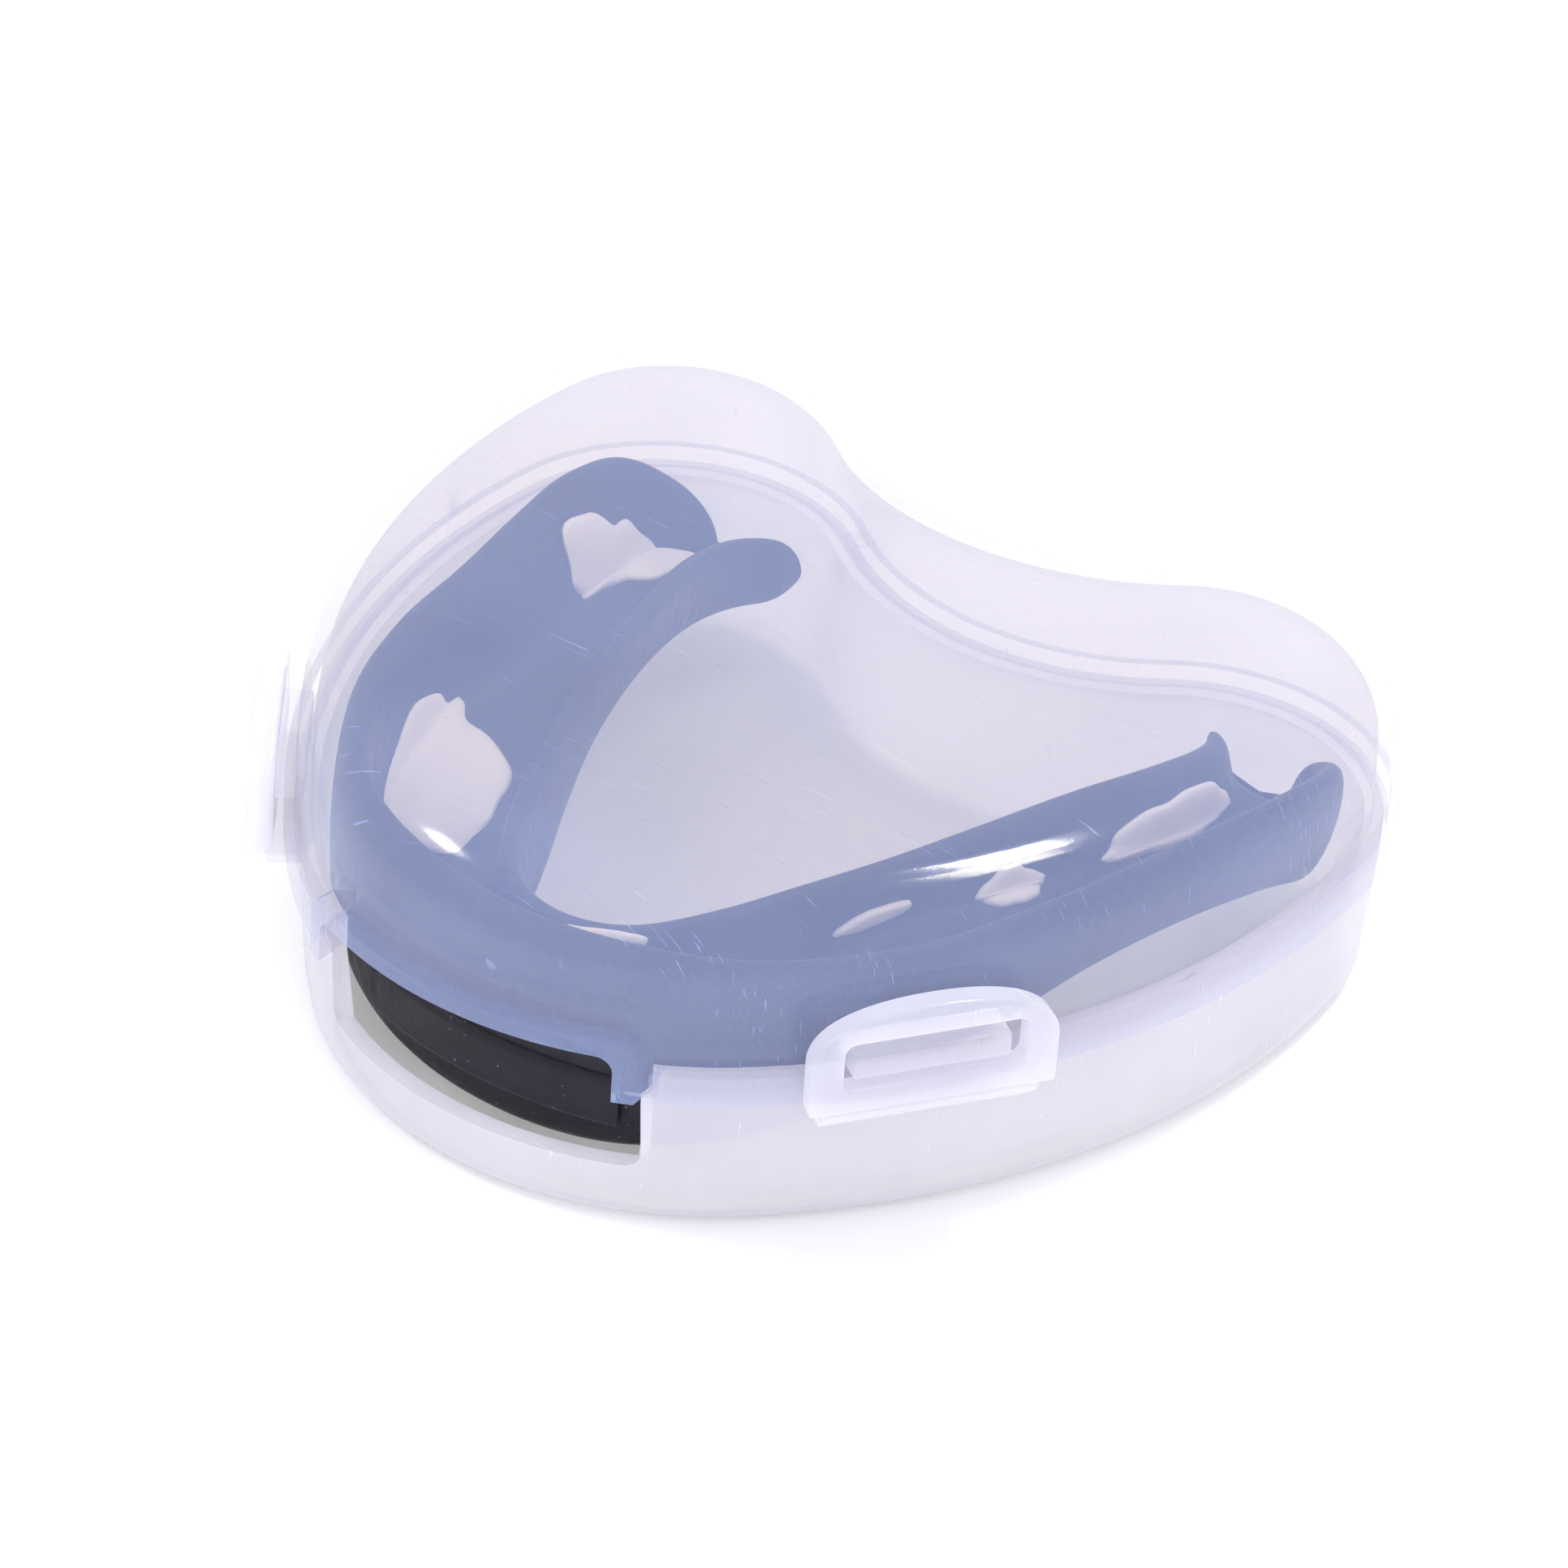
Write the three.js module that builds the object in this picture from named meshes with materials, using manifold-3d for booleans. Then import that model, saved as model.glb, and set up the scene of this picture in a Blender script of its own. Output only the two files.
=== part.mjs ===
// A boxing mouthguard in its kidney-shaped storage case, closed, in millimetres.
// +Z is up and the case stands on Z = 0. The front window faces -Y and the notch between
// the two lobes faces +Y. The part is symmetric about the plane X = 0.

import * as THREE from "three";
import { mergeVertices } from "three/addons/utils/BufferGeometryUtils.js";
import Module from "manifold-3d";

const wasm = await Module();
wasm.setup();

// ---------------------------------------------------------------- driving dimensions

// Outline of the case at the lid's skirt: four kinds of arc that run into each other.
const FRONT_Y = -36.9; // foremost point of the skirt
const FRONT_RADIUS = 29.6;
const FLANK_RADIUS = 62;
const LOBE_X = 23.84;
const LOBE_Y = 21.8;
const LOBE_RADIUS = 15.85;
const NOTCH_Y = 29.15; // deepest point of the notch

const FRONT_STEPS = 7;
const FLANK_STEPS = 8;
const LOBE_STEPS = 13;
const NOTCH_STEPS = 5;
const FILLET_STEPS = 3;
const DOME_STEPS = 6;

// Heights
const SEAM_Z = 12; // bottom edge of the lid's skirt
const LEDGE_Z = 15.1; // ledge between the skirt and the dome
const TOP_Z = 27.5;

const GAP = 0.3; // clearance between neighbouring pieces
const LID_WALL = 1.2;
const SKIRT_WALL = 0.8;
const LEDGE_WIDTH = 0.7;
const DOME_DRAFT = 0.25; // how far the dome wall leans in below its fillet
const DOME_FILLET = 7.5;
const CROWN_RISE = 0.2;
const CAP_INSET = 11.5; // outline offset at which the nearly flat top closes

const BASE_WALL = 1.4;
const BASE_TOP_INSET = 1.1; // base wall inside the skirt, at the seam
const BASE_FOOT_INSET = 1.7; // base wall at the top of its foot fillet
const BASE_FOOT_Z = 2;
const BASE_FLAT_INSET = 3.8; // edge of the flat underside
const FLOOR_TOP = 1.6;
const FLOOR_FILLET_WIDTH = 1.6; // inside, between the wall and the floor
const FLOOR_FILLET_HEIGHT = 1;
const RIM_STRAIGHT = 1; // the base wall is upright from here below the seam to its rim

// Front window, shared by the base (sill and jambs) and the lid (rolled lip)
const WINDOW_HALF = 13;
const WINDOW_TOP = 16;
const BASE_WINDOW_HALF = 13.8;
const BASE_WINDOW_SILL = 5.2;
const WINDOW_CORNER = 1.2;
const LIP_WIDTH = 1.4;
const LIP_PROUD = 0.8;
const LIP_CORNER = 1.8;
const SKIRT_END = 15.1; // the skirt stops here beside the window
const WINDOW_REACH = 8; // how deep the window cut goes behind the foremost point
const SHARP = 0.01; // corner radius of an edge left sharp
const CUT_MARGIN = 1; // how far a cutting solid reaches past the faces it cuts

// Snap flaps: flat D-shaped plates, one each side, tangent to the outline at this angle
const FLAP_ANGLE = THREE.MathUtils.degToRad(55);
const FLAP_X = 30.66; // centre of the flap's outer face
const FLAP_Y = -20.57;
const FLAP_THICKNESS = 2.1;
const FLAP_HALF = 9.2;
const FLAP_BOTTOM = 12.75;
const FLAP_SHOULDER = 16.8; // where the straight sides end
const FLAP_TOP = 21.05;
const FLAP_ARCH_REACH = 0.6; // bezier handle at the top, as a share of the half width
const FLAP_ARCH_BULGE = 0.66; // bezier handle at the shoulder, as a share of the arch's rise
const FLAP_SLOT_HALF = 6.8;
const FLAP_SLOT_BOTTOM = 14.7;
const FLAP_SLOT_TOP = 18.6;
const FLAP_SLOT_CORNER = 0.8;
const FLAP_FOOT_CORNER = 0.6;

// Catch bar on the lid, inside the flap's slot
const CATCH_HALF = 5.9;
const CATCH_HEIGHT = 2;
const CATCH_RECESS = 0.8; // behind the flap's outer face
const CATCH_ROOT = 1.2; // how far the bar reaches into the dome wall

// Living hinge and the shelf on the base that it grows from
const HINGE_Z = 12;
const HINGE_RADIUS = 0.4;
const HINGE_HALF = 8;
const SHELF_EDGE = 0.55; // shelf edge inward of the hinge line
const SHELF_DEPTH = 3.2;
const SHELF_BOTTOM = 10.9;
const SHELF_TOP = 11.7;
const WEB_THICKNESS = 0.35;
const WEB_GAP = 0.05; // between the web's leaf and the shelf it is drawn apart from

// Mouthguard: a U-shaped trough, open upward. Four rails carry its cross-sections along the
// right arm, from the middle of the front to the molar end: the outer face at its lower edge
// and at its rim, and the inner face the same. Each point is [x, y, z].
const GUARD_RAILS = {
  outerLow: [
    [0, -31.9, 3.8], [10.6, -30.2, 4.4], [19.5, -25, 6.4], [25, -16, 8.6], [27.6, -6, 9.6],
    [28.4, 4, 9.2], [29.6, 14, 8.2], [31.2, 22, 7.2], [31.8, 28, 5.6], [28, 32, 5.2],
  ],
  outerRim: [
    [0, -30.8, 20.6], [10.2, -29.1, 20.8], [19.2, -24.4, 20.9], [26.3, -15.2, 20.7], [29.8, -5.4, 20.4],
    [31.6, 4, 19.6], [33.4, 13.5, 19.2], [34.6, 21.5, 18.6], [33.8, 28.5, 16.9], [28.8, 32.8, 12.6],
  ],
  innerRim: [
    [0, -23, 17.2], [4.6, -21.4, 17.3], [8, -16.4, 17.4], [10.8, -10.2, 17.5], [13.4, -3.6, 17.4],
    [15.8, 4, 17.2], [18.1, 13, 16.6], [20.2, 21.4, 15.6], [20.4, 28.4, 14], [18, 33.4, 12.4],
  ],
  innerLow: [
    [0, -23.6, 4.4], [4.6, -21.8, 5], [8.2, -16, 5.8], [10.6, -10.4, 6.6], [13.8, -4, 7.2],
    [17.4, 4, 7.7], [20.4, 13.2, 7.7], [22, 21.6, 7.2], [21.8, 28.2, 6.4], [19.6, 32.8, 6],
  ],
};
const GUARD_STEPS = 40; // sections along the whole U
const GUARD_FLANGE = 2.5;
const GUARD_FLOOR = 2.6;
const GUARD_EDGE = 0.8; // rounding of the rims and lower edges
const GUARD_BULGE = 0.6; // outward swell of the outer flange at mid height

// Breathing bar moulded on the guard's front, behind the window
const BAR_REACH = 0.11; // half its length, as a fraction of one arm
const BAR_STEPS = 6;
const BAR_BOTTOM = 6.4;
const BAR_TOP = 10.6;
const BAR_PROUD = 0.9;

// Pale pads on the floor of the trough. from and to are fractions of one arm's length.
const PAD_GAP = 0.15;
const PAD_HEIGHT = 1.5;
const PAD_SHOULDER = 0.25; // where the crown starts, as a share of the pad's width
const PADS = [
  { name: "gel_pad_front", from: -0.1, to: 0.1, steps: 6 },
  { name: "gel_pad_side_right", from: 0.28, to: 0.56, steps: 8 },
  { name: "gel_pad_side_left", from: -0.56, to: -0.28, steps: 8 },
  { name: "gel_pad_rear_right", from: 0.68, to: 0.92, steps: 7 },
  { name: "gel_pad_rear_left", from: -0.92, to: -0.68, steps: 7 },
];

// ---------------------------------------------------------------- materials

const clearPlastic = new THREE.MeshStandardMaterial({
  color: "#e4e0f0",
  roughness: 0.3,
  metalness: 0,
  transparent: true,
  opacity: 0.35,
});
const blackRubber = new THREE.MeshStandardMaterial({ color: "#1b1b22", roughness: 0.45, metalness: 0 });
const paleGel = new THREE.MeshStandardMaterial({ color: "#e2dae4", roughness: 0.4, metalness: 0 });

// ---------------------------------------------------------------- solids

function solidOf(geometry) {
  const bare = geometry.index ? geometry.toNonIndexed() : geometry.clone();
  bare.deleteAttribute("normal");
  bare.deleteAttribute("uv");
  const merged = mergeVertices(bare, 1e-4);
  const mesh = new wasm.Mesh({
    numProp: 3,
    vertProperties: merged.attributes.position.array,
    triVerts: new Uint32Array(merged.index.array),
  });
  return new wasm.Manifold(mesh);
}

function geometryOf(solid) {
  const mesh = solid.getMesh();
  const geometry = new THREE.BufferGeometry();
  geometry.setAttribute("position", new THREE.BufferAttribute(mesh.vertProperties, 3));
  geometry.setIndex(new THREE.BufferAttribute(mesh.triVerts, 1));
  return geometry;
}

function meshOf(name, geometry, material) {
  const mesh = new THREE.Mesh(geometry, material);
  mesh.name = name;
  return mesh;
}

// Collects triangles of points into one geometry.
class Skin {
  constructor() {
    this.points = [];
  }

  triangle(a, b, c) {
    this.points.push(a, b, c);
  }

  // The band between two closed rows of points, facing out where the lower row runs
  // counter-clockwise seen from above.
  band(lower, upper) {
    for (let i = 0; i < lower.length; i++) {
      const j = (i + 1) % lower.length;
      this.triangle(lower[i], lower[j], upper[j]);
      this.triangle(lower[i], upper[j], upper[i]);
    }
  }

  // A flat cap on a closed row, facing up or down.
  cap(row, up) {
    const flat = row.map((p) => new THREE.Vector2(p.x, p.y));
    for (const [a, b, c] of THREE.ShapeUtils.triangulateShape(flat, [])) {
      const facesUp = flat[b].clone().sub(flat[a]).cross(flat[c].clone().sub(flat[a])) > 0;
      if (facesUp === up) this.triangle(row[a], row[b], row[c]);
      else this.triangle(row[a], row[c], row[b]);
    }
  }

  geometry() {
    return new THREE.BufferGeometry().setFromPoints(this.points);
  }
}

// ---------------------------------------------------------------- case outline

function direction(angle) {
  return new THREE.Vector2(Math.cos(angle), Math.sin(angle));
}

// The right half of the outline as arcs, from the front's middle to the notch's middle.
function outlineArcs() {
  const front = new THREE.Vector2(0, FRONT_Y + FRONT_RADIUS);
  const lobe = new THREE.Vector2(LOBE_X, LOBE_Y);
  const toLobe = lobe.clone().sub(front);
  const distance = toLobe.length();
  const flankToFront = FLANK_RADIUS - FRONT_RADIUS;
  const flankToLobe = FLANK_RADIUS - LOBE_RADIUS;
  const along = (flankToFront ** 2 - flankToLobe ** 2 + distance ** 2) / (2 * distance);
  const across = Math.sqrt(flankToFront ** 2 - along ** 2);
  const unit = toLobe.normalize();
  const flank = front.clone().addScaledVector(unit, along);
  flank.add(new THREE.Vector2(-unit.y, unit.x).multiplyScalar(across));
  const rise = LOBE_Y - NOTCH_Y;
  const notchRadius = (LOBE_X ** 2 + rise ** 2 - LOBE_RADIUS ** 2) / (2 * (LOBE_RADIUS + rise));
  const notch = new THREE.Vector2(0, NOTCH_Y + notchRadius);
  const frontEnd = front.clone().sub(flank).angle() - 2 * Math.PI;
  const flankEnd = lobe.clone().sub(flank).angle();
  const lobeEnd = notch.clone().sub(lobe).angle();
  return [
    { centre: front, radius: FRONT_RADIUS, from: -Math.PI / 2, to: frontEnd, steps: FRONT_STEPS },
    { centre: flank, radius: FLANK_RADIUS, from: frontEnd, to: flankEnd, steps: FLANK_STEPS },
    { centre: lobe, radius: LOBE_RADIUS, from: flankEnd, to: lobeEnd, steps: LOBE_STEPS },
    { centre: notch, radius: -notchRadius, from: lobeEnd, to: Math.PI / 2, steps: NOTCH_STEPS },
  ];
}

const ARCS = outlineArcs();

// The whole outline, moved inward by inset, at one height, counter-clockwise from above.
function ring(inset, z) {
  const right = [];
  for (const arc of ARCS) {
    for (let i = 0; i < arc.steps; i++) {
      const angle = arc.from + ((arc.to - arc.from) * i) / arc.steps;
      const p = arc.centre.clone().addScaledVector(direction(angle), arc.radius - inset);
      right.push(new THREE.Vector3(p.x, p.y, z));
    }
  }
  right[0].x = 0;
  right.push(new THREE.Vector3(0, NOTCH_Y - inset, z));
  const left = right.slice(1, -1).reverse();
  return right.concat(left.map((p) => new THREE.Vector3(-p.x, p.y, p.z)));
}

// A bowl or a cover: two lofts of [inset, z] rows from the rim to their caps.
function shell(outer, inner, opensUp) {
  const skin = new Skin();
  const outerRows = outer.map(([inset, z]) => ring(inset, z));
  const innerRows = inner.map(([inset, z]) => ring(inset, z));
  const join = (a, b, facesOut) => (facesOut ? skin.band(a, b) : skin.band(b, a));
  for (let i = 1; i < outerRows.length; i++) join(outerRows[i - 1], outerRows[i], !opensUp);
  for (let i = 1; i < innerRows.length; i++) join(innerRows[i - 1], innerRows[i], opensUp);
  join(innerRows[0], outerRows[0], !opensUp);
  skin.cap(outerRows.at(-1), !opensUp);
  skin.cap(innerRows.at(-1), opensUp);
  return solidOf(skin.geometry());
}

// A wall that follows the outline between two insets and two heights.
function outlineWall(outerInset, innerInset, bottom, top) {
  const skin = new Skin();
  const rows = [
    ring(outerInset, bottom),
    ring(outerInset, top),
    ring(innerInset, top),
    ring(innerInset, bottom),
  ];
  rows.forEach((row, i) => skin.band(row, rows[(i + 1) % rows.length]));
  return solidOf(skin.geometry());
}

// ---------------------------------------------------------------- plates and blocks

function roundedRectangle(half, bottom, top, corner, topCorner = corner) {
  const shape = new THREE.Shape();
  shape.moveTo(-half + corner, bottom);
  shape.lineTo(half - corner, bottom);
  shape.quadraticCurveTo(half, bottom, half, bottom + corner);
  shape.lineTo(half, top - topCorner);
  shape.quadraticCurveTo(half, top, half - topCorner, top);
  shape.lineTo(-half + topCorner, top);
  shape.quadraticCurveTo(-half, top, -half, top - topCorner);
  shape.lineTo(-half, bottom + corner);
  shape.quadraticCurveTo(-half, bottom, -half + corner, bottom);
  return shape;
}

// Extrudes an outline drawn across and up, so that it runs inward from the plane y = 0.
function extrudeInward(shape, depth) {
  const geometry = new THREE.ExtrudeGeometry(shape, { depth, bevelEnabled: false, curveSegments: 4 });
  geometry.rotateX(Math.PI / 2);
  geometry.translate(0, depth, 0);
  return geometry;
}

function block(width, bottom, top, depth) {
  const geometry = new THREE.BoxGeometry(width, depth, top - bottom);
  geometry.translate(0, depth / 2, (bottom + top) / 2);
  return geometry;
}

// Puts a shape drawn at the origin, facing -Y, on one side's flap plane. inward moves it
// behind the flap's outer face.
function onFlapPlane(geometry, side, inward) {
  const placed = geometry.clone();
  placed.translate(0, inward, 0);
  placed.rotateZ(FLAP_ANGLE);
  placed.translate(FLAP_X, FLAP_Y, 0);
  if (side > 0) return solidOf(placed);
  return solidOf(placed).mirror([1, 0, 0]);
}

// ---------------------------------------------------------------- case base

function windowCut(half, bottom, top, corner) {
  const shape = roundedRectangle(half, bottom, top, corner);
  const geometry = extrudeInward(shape, WINDOW_REACH);
  geometry.translate(0, FRONT_Y - LIP_PROUD - CUT_MARGIN, 0);
  return solidOf(geometry);
}

// Rows of a rounded corner that runs inward and down from a wall to a level face.
function fillet(inset, width, height, level) {
  const rows = [];
  for (let i = 0; i <= FILLET_STEPS; i++) {
    const angle = (Math.PI / 2) * (i / FILLET_STEPS);
    rows.push([inset + width * (1 - Math.cos(angle)), level + height * (1 - Math.sin(angle))]);
  }
  return rows;
}

function caseBase() {
  const rimTop = LEDGE_Z - LID_WALL - GAP;
  const straightZ = SEAM_Z - RIM_STRAIGHT;
  const footWidth = BASE_FLAT_INSET - BASE_FOOT_INSET;
  const outer = [
    [BASE_TOP_INSET, rimTop],
    [BASE_TOP_INSET, straightZ],
    ...fillet(BASE_FOOT_INSET, footWidth, BASE_FOOT_Z, 0),
  ];
  const inner = [
    [BASE_TOP_INSET + BASE_WALL, rimTop],
    [BASE_TOP_INSET + BASE_WALL, straightZ],
    ...fillet(BASE_FOOT_INSET + BASE_WALL, FLOOR_FILLET_WIDTH, FLOOR_FILLET_HEIGHT, FLOOR_TOP),
  ];
  let solid = shell(outer, inner, true);
  solid = solid.subtract(windowCut(BASE_WINDOW_HALF, BASE_WINDOW_SILL, TOP_Z, WINDOW_CORNER));
  const lipHalf = WINDOW_HALF + LIP_WIDTH + GAP;
  solid = solid.subtract(windowCut(lipHalf, SEAM_Z, TOP_Z, SHARP));
  const shelf = block(2 * HINGE_HALF, SHELF_BOTTOM, SHELF_TOP, SHELF_DEPTH);
  for (const side of [-1, 1]) {
    solid = solid.add(onFlapPlane(shelf, side, FLAP_THICKNESS / 2 + SHELF_EDGE));
  }
  return geometryOf(solid);
}

// ---------------------------------------------------------------- case lid

// Rows up the dome, from the ledge to the cap, for the outer face or the inner face.
function domeRows(start, thickness, steps) {
  const wallInset = start + DOME_DRAFT;
  const radius = DOME_FILLET - thickness;
  const centreInset = wallInset - thickness + DOME_FILLET;
  const rows = [];
  for (let i = 0; i <= steps; i++) {
    const angle = (Math.PI / 2) * (i / steps);
    const inset = centreInset - radius * Math.cos(angle);
    rows.push([inset, TOP_Z - CROWN_RISE - DOME_FILLET + radius * Math.sin(angle)]);
  }
  rows.push([CAP_INSET, TOP_Z - thickness]);
  return rows;
}

function windowLip() {
  const outer = roundedRectangle(
    WINDOW_HALF + LIP_WIDTH,
    SEAM_Z + GAP,
    WINDOW_TOP + LIP_WIDTH,
    SHARP,
    LIP_CORNER,
  );
  const frame = extrudeInward(outer, WINDOW_REACH + LIP_PROUD);
  frame.translate(0, FRONT_Y - LIP_PROUD - CUT_MARGIN, 0);
  const wall = outlineWall(-LIP_PROUD, LEDGE_WIDTH + LID_WALL, SEAM_Z, WINDOW_TOP + 2 * LIP_WIDTH);
  return wall.intersect(solidOf(frame));
}

function caseLid() {
  const outer = [
    [0, SEAM_Z],
    [0, LEDGE_Z],
    [LEDGE_WIDTH, LEDGE_Z],
    ...domeRows(LEDGE_WIDTH, 0, DOME_STEPS),
  ];
  const inner = [
    [SKIRT_WALL, SEAM_Z],
    [SKIRT_WALL, LEDGE_Z - LID_WALL],
    [LEDGE_WIDTH + LID_WALL, LEDGE_Z - LID_WALL],
    ...domeRows(LEDGE_WIDTH + LID_WALL, LID_WALL, DOME_STEPS - 1),
  ];
  let solid = shell(outer, inner, false);
  const skirtFront = outlineWall(-CUT_MARGIN, LEDGE_WIDTH, SEAM_Z - CUT_MARGIN, LEDGE_Z).intersect(
    windowCut(SKIRT_END, 0, LEDGE_Z + CUT_MARGIN, SHARP),
  );
  solid = solid.subtract(skirtFront);
  solid = solid.add(windowLip());
  solid = solid.subtract(windowCut(WINDOW_HALF, 0, WINDOW_TOP, WINDOW_CORNER));
  const bar = block(2 * CATCH_HALF, LEDGE_Z, LEDGE_Z + CATCH_HEIGHT, FLAP_THICKNESS + CATCH_ROOT);
  for (const side of [-1, 1]) solid = solid.add(onFlapPlane(bar, side, CATCH_RECESS));
  return geometryOf(solid);
}

// ---------------------------------------------------------------- flaps and hinges

function flapShape() {
  const shape = new THREE.Shape();
  shape.moveTo(-FLAP_HALF + FLAP_FOOT_CORNER, FLAP_BOTTOM);
  shape.lineTo(FLAP_HALF - FLAP_FOOT_CORNER, FLAP_BOTTOM);
  shape.lineTo(FLAP_HALF, FLAP_BOTTOM + FLAP_FOOT_CORNER);
  shape.lineTo(FLAP_HALF, FLAP_SHOULDER);
  const pull = FLAP_ARCH_REACH * FLAP_HALF;
  const bulge = FLAP_SHOULDER + FLAP_ARCH_BULGE * (FLAP_TOP - FLAP_SHOULDER);
  shape.bezierCurveTo(FLAP_HALF, bulge, pull, FLAP_TOP, 0, FLAP_TOP);
  shape.bezierCurveTo(-pull, FLAP_TOP, -FLAP_HALF, bulge, -FLAP_HALF, FLAP_SHOULDER);
  shape.lineTo(-FLAP_HALF, FLAP_BOTTOM + FLAP_FOOT_CORNER);
  shape.holes.push(
    roundedRectangle(FLAP_SLOT_HALF, FLAP_SLOT_BOTTOM, FLAP_SLOT_TOP, FLAP_SLOT_CORNER),
  );
  return shape;
}

function latchFlap(side) {
  const depth = FLAP_THICKNESS;
  const plate = new THREE.ExtrudeGeometry(flapShape(), { depth, bevelEnabled: false, curveSegments: 8 });
  plate.rotateX(Math.PI / 2);
  plate.translate(0, depth, 0);
  return geometryOf(onFlapPlane(plate, side, 0));
}

// The web's section: a round bead on the hinge line and a thin leaf towards the shelf.
function livingHinge(side) {
  const line = FLAP_THICKNESS / 2;
  const bead = new THREE.CylinderGeometry(HINGE_RADIUS, HINGE_RADIUS, 2 * HINGE_HALF, 10);
  bead.rotateZ(Math.PI / 2);
  bead.translate(0, 0, HINGE_Z);
  const leafReach = SHELF_EDGE - WEB_GAP;
  const leafTop = HINGE_Z - GAP;
  const leaf = block(2 * HINGE_HALF, leafTop - WEB_THICKNESS, leafTop, leafReach);
  const solid = onFlapPlane(bead, side, line).add(onFlapPlane(leaf, side, line));
  return geometryOf(solid);
}

// ---------------------------------------------------------------- mouthguard

// Smooth value at a fraction of the way along a rail. The point before the first is the
// second point's mirror image.
function smooth(values, fraction, mirrored) {
  const last = values.length - 1;
  const place = Math.min(fraction * last, last - 1e-9);
  const i = Math.floor(place);
  const t = place - i;
  const before = i > 0 ? values[i - 1] : (mirrored ? -1 : 1) * values[1];
  const after = i + 2 <= last ? values[i + 2] : 2 * values[last] - values[last - 1];
  const [a, b] = [values[i], values[i + 1]];
  const slopeA = (b - before) / 2;
  const slopeB = (after - a) / 2;
  const cubic = 2 * a - 2 * b + slopeA + slopeB;
  const square = 3 * b - 3 * a - 2 * slopeA - slopeB;
  return ((cubic * t + square) * t + slopeA) * t + a;
}

// One of the four rails at a signed fraction of one arm: 0 in the middle, 1 at the tip.
function rail(name, fraction) {
  const [x, y, z] = [0, 1, 2].map((axis) => {
    const values = GUARD_RAILS[name].map((point) => point[axis]);
    return smooth(values, Math.abs(fraction), axis === 0);
  });
  return new THREE.Vector3(fraction < 0 ? -x : x, y, z);
}

// The frame of one cross-section: its rails, and the level direction from inner to outer.
function station(fraction) {
  const at = {};
  for (const name of Object.keys(GUARD_RAILS)) at[name] = rail(name, fraction);
  const outer = at.outerLow.clone().add(at.outerRim);
  const inner = at.innerLow.clone().add(at.innerRim);
  at.outward = outer.sub(inner).setZ(0).normalize();
  at.floor = Math.max(at.outerLow.z, at.innerLow.z) + GUARD_FLOOR;
  return at;
}

// A point between two rails at height z, moved outward.
function between(at, low, rim, z, move) {
  const share = (z - low.z) / (rim.z - low.z);
  return low.clone().lerp(rim, share).setZ(z).addScaledVector(at.outward, move);
}

function outerPoint(at, z, move) {
  return between(at, at.outerLow, at.outerRim, z, move);
}

function innerPoint(at, z, move) {
  return between(at, at.innerLow, at.innerRim, z, move);
}

// The U-shaped section, from the outer face's lower edge over both rims.
function guardSection(at) {
  const edge = GUARD_EDGE;
  const flange = GUARD_FLANGE;
  const { outerLow, outerRim, innerLow, innerRim, floor } = at;
  return [
    outerPoint(at, outerLow.z, -2 * edge),
    outerPoint(at, outerLow.z + edge, 0),
    outerPoint(at, (outerLow.z + outerRim.z) / 2, GUARD_BULGE),
    outerPoint(at, outerRim.z - edge, 0),
    outerPoint(at, outerRim.z, -flange / 2),
    outerPoint(at, outerRim.z - edge, -flange),
    outerPoint(at, floor + edge, -flange),
    outerPoint(at, floor, -flange - edge),
    innerPoint(at, floor, flange + edge),
    innerPoint(at, floor + edge, flange),
    innerPoint(at, innerRim.z - edge, flange),
    innerPoint(at, innerRim.z, flange / 2),
    innerPoint(at, innerRim.z - edge, 0),
    innerPoint(at, innerLow.z + edge, 0),
    innerPoint(at, innerLow.z, 2 * edge),
  ];
}

// A pad's section: flat below, crowned above, clear of both flanges.
function padSection(at) {
  const bottom = at.floor + PAD_GAP;
  const top = bottom + PAD_HEIGHT;
  const outer = outerPoint(at, at.floor, -GUARD_FLANGE - GUARD_EDGE);
  const inner = innerPoint(at, at.floor, GUARD_FLANGE + GUARD_EDGE);
  const across = (share, z) => inner.clone().lerp(outer, share).setZ(z);
  return [
    across(0, bottom),
    across(1, bottom),
    across(1, bottom + PAD_HEIGHT / 2),
    across(1 - PAD_SHOULDER, top),
    across(PAD_SHOULDER, top),
    across(0, bottom + PAD_HEIGHT / 2),
  ];
}

// The breathing bar's section. It starts inside the front flange.
function barSection(at) {
  const edge = BAR_PROUD / 2;
  return [
    outerPoint(at, BAR_BOTTOM, -GUARD_FLANGE / 2),
    outerPoint(at, BAR_BOTTOM, edge),
    outerPoint(at, BAR_BOTTOM + edge, BAR_PROUD),
    outerPoint(at, BAR_TOP - edge, BAR_PROUD),
    outerPoint(at, BAR_TOP, edge),
    outerPoint(at, BAR_TOP, -GUARD_FLANGE / 2),
  ];
}

// Closes one end of a loft. The row is drawn flat as [across, z] to cut it in triangles.
function closeEnd(skin, row, at, turned) {
  const flat = row.map((p) => new THREE.Vector2(p.dot(at.outward), p.z));
  for (const [a, b, c] of THREE.ShapeUtils.triangulateShape(flat, [])) {
    if (turned) skin.triangle(row[a], row[c], row[b]);
    else skin.triangle(row[a], row[b], row[c]);
  }
}

// Lofts the sections from one signed fraction of the arch to another.
function archLoft(from, to, steps, sectionOf) {
  const frames = [];
  for (let i = 0; i <= steps; i++) frames.push(station(from + ((to - from) * i) / steps));
  const rows = frames.map(sectionOf);
  const skin = new Skin();
  for (let i = 1; i < rows.length; i++) skin.band(rows[i], rows[i - 1]);
  closeEnd(skin, rows[0], frames[0], false);
  closeEnd(skin, rows.at(-1), frames.at(-1), true);
  return solidOf(skin.geometry());
}

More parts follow.
